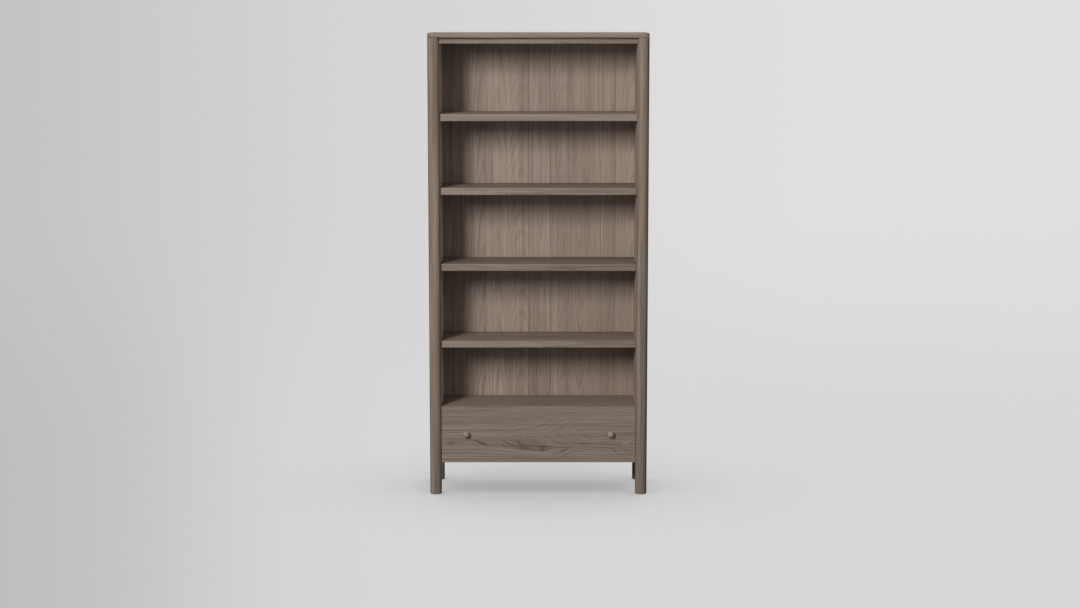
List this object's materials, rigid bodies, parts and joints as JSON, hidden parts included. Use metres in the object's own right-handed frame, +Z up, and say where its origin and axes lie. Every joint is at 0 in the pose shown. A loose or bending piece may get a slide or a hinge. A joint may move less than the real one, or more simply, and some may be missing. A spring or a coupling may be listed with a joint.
{
  "type": "bookcase with drawer",
  "caption": "Tall open bookcase on round posts, with fixed shelves over a full-width drawer on telescopic runners.",
  "frame": {"origin": "on the floor, under the centre of the bookcase's plan", "axes": "+X to the right of someone facing the open front, +Y to the back, +Z up; the drawer runs out along -Y"},
  "size_m": [0.9, 0.329, 1.903],
  "materials": {
    "post_oak": "satin, grey-brown stained, grain along the post",
    "top_oak": "satin, grey-brown stained, grain along the width",
    "shelf_oak": "satin, grey-brown stained, grain along the width",
    "side_oak": "satin, grey-brown stained, upright grain",
    "back_oak": "satin, grey-brown stained, upright grain in strips",
    "drawer_oak": "satin, grey-brown stained, flamed grain along the width",
    "knob_oak": "satin, grey-brown stained, turned",
    "box_wood": "clear lacquer, matte",
    "dowel_wood": "raw, fluted",
    "runner_steel": "zinc-plated",
    "screw_steel": "zinc-plated",
    "glide_plastic": "matte"
  },
  "bodies": {
    "carcass": {"post_front_left": "post_oak", "post_front_right": "post_oak", "post_rear_left": "post_oak", "post_rear_right": "post_oak", "foot_glide_front_left": "glide_plastic", "foot_glide_front_right": "glide_plastic", "foot_glide_rear_left": "glide_plastic", "foot_glide_rear_right": "glide_plastic", "post_dowel_front_left": "dowel_wood", "post_dowel_front_right": "dowel_wood", "post_dowel_rear_left": "dowel_wood", "post_dowel_rear_right": "dowel_wood", "top_panel": "top_oak", "upper_board": "shelf_oak", "base_board": "shelf_oak", "side_panel_left": "side_oak", "side_panel_right": "side_oak", "back_panel": "back_oak", "shelf_1": "shelf_oak", "shelf_1_dowel_front_left": "dowel_wood", "shelf_1_dowel_front_right": "dowel_wood", "shelf_1_dowel_rear_left": "dowel_wood", "shelf_1_dowel_rear_right": "dowel_wood", "shelf_2": "shelf_oak", "shelf_2_dowel_front_left": "dowel_wood", "shelf_2_dowel_front_right": "dowel_wood", "shelf_2_dowel_rear_left": "dowel_wood", "shelf_2_dowel_rear_right": "dowel_wood", "shelf_3": "shelf_oak", "shelf_3_dowel_front_left": "dowel_wood", "shelf_3_dowel_front_right": "dowel_wood", "shelf_3_dowel_rear_left": "dowel_wood", "shelf_3_dowel_rear_right": "dowel_wood", "shelf_4": "shelf_oak", "shelf_4_dowel_front_left": "dowel_wood", "shelf_4_dowel_front_right": "dowel_wood", "shelf_4_dowel_rear_left": "dowel_wood", "shelf_4_dowel_rear_right": "dowel_wood", "drawer_cover_shelf": "shelf_oak", "drawer_cover_shelf_dowel_front_left": "dowel_wood", "drawer_cover_shelf_dowel_front_right": "dowel_wood", "drawer_cover_shelf_dowel_rear_left": "dowel_wood", "drawer_cover_shelf_dowel_rear_right": "dowel_wood", "runner_cabinet_left": "runner_steel", "runner_cabinet_right": "runner_steel"},
    "drawer": {"drawer_front": "drawer_oak", "drawer_box_front": "box_wood", "drawer_side_left": "box_wood", "drawer_side_right": "box_wood", "drawer_back": "box_wood", "drawer_bottom": "box_wood", "knob_left": "knob_oak", "knob_right": "knob_oak", "knob_screw_left": "screw_steel", "knob_screw_right": "screw_steel", "runner_drawer_left": "runner_steel", "runner_drawer_right": "runner_steel"},
    "left_middle_channel": {"runner_middle_left": "runner_steel"},
    "right_middle_channel": {"runner_middle_right": "runner_steel"}
  },
  "joints": [
    {"name": "drawer_slide", "type": "slide", "parent": "carcass", "child": "drawer", "axis": [0, -1, 0], "range_m": [0, 0.2]},
    {"name": "left_channel_slide", "type": "slide", "parent": "carcass", "child": "left_middle_channel", "axis": [0, -1, 0], "range_m": [0, 0.1]},
    {"name": "right_channel_slide", "type": "slide", "parent": "carcass", "child": "right_middle_channel", "axis": [0, -1, 0], "range_m": [0, 0.1]}
  ],
  "couplings": [
    {"joint": "left_channel_slide", "follows": "drawer_slide", "ratio": 0.5},
    {"joint": "right_channel_slide", "follows": "drawer_slide", "ratio": 0.5}
  ]
}
